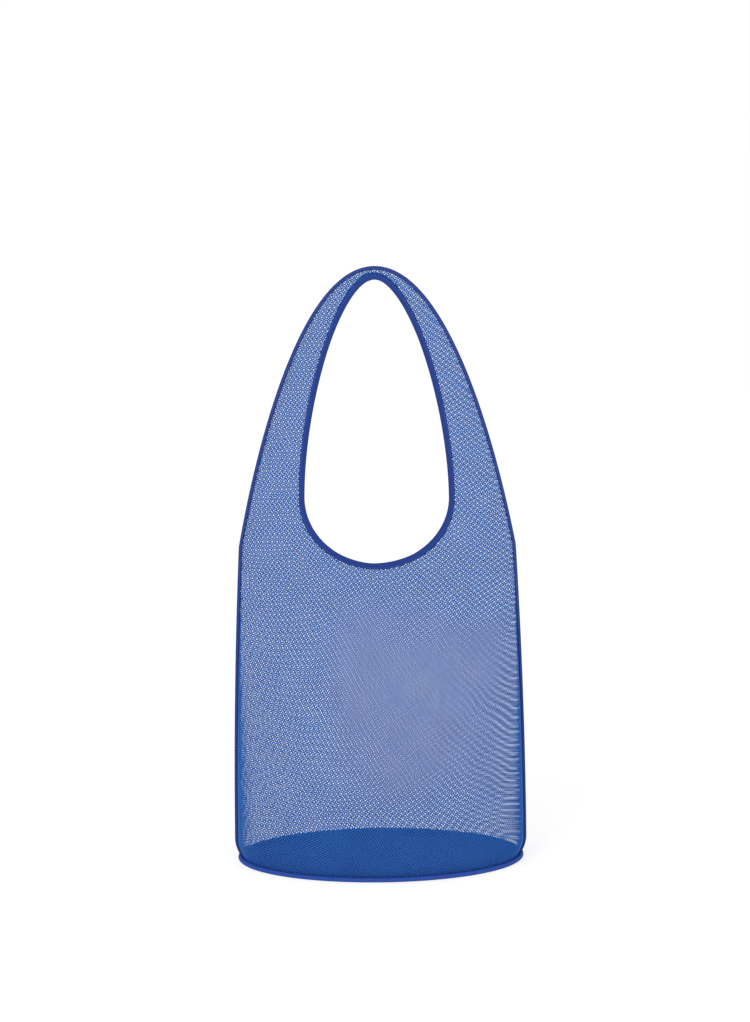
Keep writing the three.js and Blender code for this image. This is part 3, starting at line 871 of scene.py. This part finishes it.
class MESHBAG_OT_stage(bpy.types.Operator):
    """Set up the pale floor, the soft light and the camera"""

    bl_idname = "mesh_bag.stage"
    bl_label = "Studio"

    def execute(self, context):
        scene = context.scene
        scene.view_settings.view_transform = "Standard"

        # White floor paint: the camera sees it white, with part of the bag's shadow left in.
        material = bpy.data.materials.new("white_floor")
        material.use_nodes = True
        tree = material.node_tree
        tree.nodes.clear()
        paint = add(tree, "ShaderNodeBsdfDiffuse", {"Color": (0.9, 0.9, 0.9, 1)}).outputs[0]
        white = add(tree, "ShaderNodeEmission", {"Color": (1, 1, 1, 1), "Strength": 1.05}).outputs[0]
        share = add(
            tree, "ShaderNodeMath", {0: seen_directly(tree), 1: 0.66}, operation="MULTIPLY").outputs[0]
        mixed = add(tree, "ShaderNodeMixShader", {0: share, 1: paint, 2: white}).outputs[0]
        add(tree, "ShaderNodeOutputMaterial", {"Surface": mixed})
        reach = 60.0
        drop = 0.4 * MM
        corners = [(x * reach, y * reach, -drop) for x, y in ((-1, -1), (1, -1), (1, 1), (-1, 1))]
        floor = plain("floor", corners, [(0, 1, 2, 3)], material)

        world = bpy.data.worlds.new("studio")
        world.use_nodes = True
        scene.world = world
        tree = world.node_tree
        tree.nodes.clear()
        soft = add(tree, "ShaderNodeBackground", {"Color": (1, 1, 1, 1), "Strength": 0.95}).outputs[0]
        white = add(tree, "ShaderNodeBackground", {"Color": (1, 1, 1, 1), "Strength": 1.0}).outputs[0]
        mixed = add(tree, "ShaderNodeMixShader", {0: seen_directly(tree), 1: soft, 2: white}).outputs[0]
        add(tree, "ShaderNodeOutputWorld", {"Surface": mixed})

        middle = Vector((0, 0, HEIGHT / 2))
        lamps = (
            ("key", (-1.6, -2.4, 2.4), 60, 2.2),
            ("fill", (2.4, -1.6, 1.4), 20, 2.0))
        for name, place, power, size in lamps:
            lamp = bpy.data.lights.new(name, "AREA")
            lamp.energy = power
            lamp.size = size
            light = bpy.data.objects.new(name, lamp)
            light.location = place
            light.rotation_mode = "QUATERNION"
            light.rotation_quaternion = (middle - Vector(place)).to_track_quat("-Z", "Y")
            scene.collection.objects.link(light)

        distance = 40.0
        field = IMAGE_HEIGHT * PIXEL
        elevation = math.radians(18.4)
        roll = math.radians(0.68)
        aim = Vector((-2.1 * MM, 0, 413.2 * MM))
        back = Vector((0, -math.cos(elevation), math.sin(elevation)))
        lens = bpy.data.cameras.new("camera")
        lens.sensor_width = 36
        lens.lens = 36 * distance / field
        lens.clip_end = 3 * distance
        camera = bpy.data.objects.new("camera", lens)
        camera.rotation_mode = "QUATERNION"
        camera.location = aim + back * distance
        camera.rotation_quaternion = (
            (-back).to_track_quat("-Z", "Y") @ Matrix.Rotation(-roll, 3, "Z").to_quaternion())
        scene.collection.objects.link(camera)
        scene.camera = camera
        return {"FINISHED"}


class MESHBAG_PT_sidebar(bpy.types.Panel):
    """The bag's pieces and their sizes and colours"""

    bl_label = "Mesh bag"
    bl_idname = "MESHBAG_PT_sidebar"
    bl_space_type = "VIEW_3D"
    bl_region_type = "UI"
    bl_category = "Mesh bag"

    def draw(self, context):
        for group in (context.scene.mesh_bag_sizes, context.scene.mesh_bag_colours):
            for name in group.__annotations__:
                self.layout.prop(group, name)
        for operator in OPERATORS:
            self.layout.operator(operator.bl_idname)


OPERATORS = (
    MESHBAG_OT_panels, MESHBAG_OT_bindings, MESHBAG_OT_side_seam, MESHBAG_OT_base, MESHBAG_OT_stage)
CLASSES = (MeshBagSizes, MeshBagColours, *OPERATORS, MESHBAG_PT_sidebar)


def register():
    for cls in CLASSES:
        bpy.utils.register_class(cls)
    bpy.types.Scene.mesh_bag_sizes = PointerProperty(type=MeshBagSizes)
    bpy.types.Scene.mesh_bag_colours = PointerProperty(type=MeshBagColours)


def unregister():
    del bpy.types.Scene.mesh_bag_sizes
    del bpy.types.Scene.mesh_bag_colours
    for cls in reversed(CLASSES):
        bpy.utils.unregister_class(cls)


def main():
    """Makes the whole bag and its studio."""
    register()
    bpy.ops.mesh_bag.panels()
    bpy.ops.mesh_bag.bindings()
    bpy.ops.mesh_bag.side_seam()
    bpy.ops.mesh_bag.base()
    bpy.ops.mesh_bag.stage()


if __name__ == "__main__":
    main()
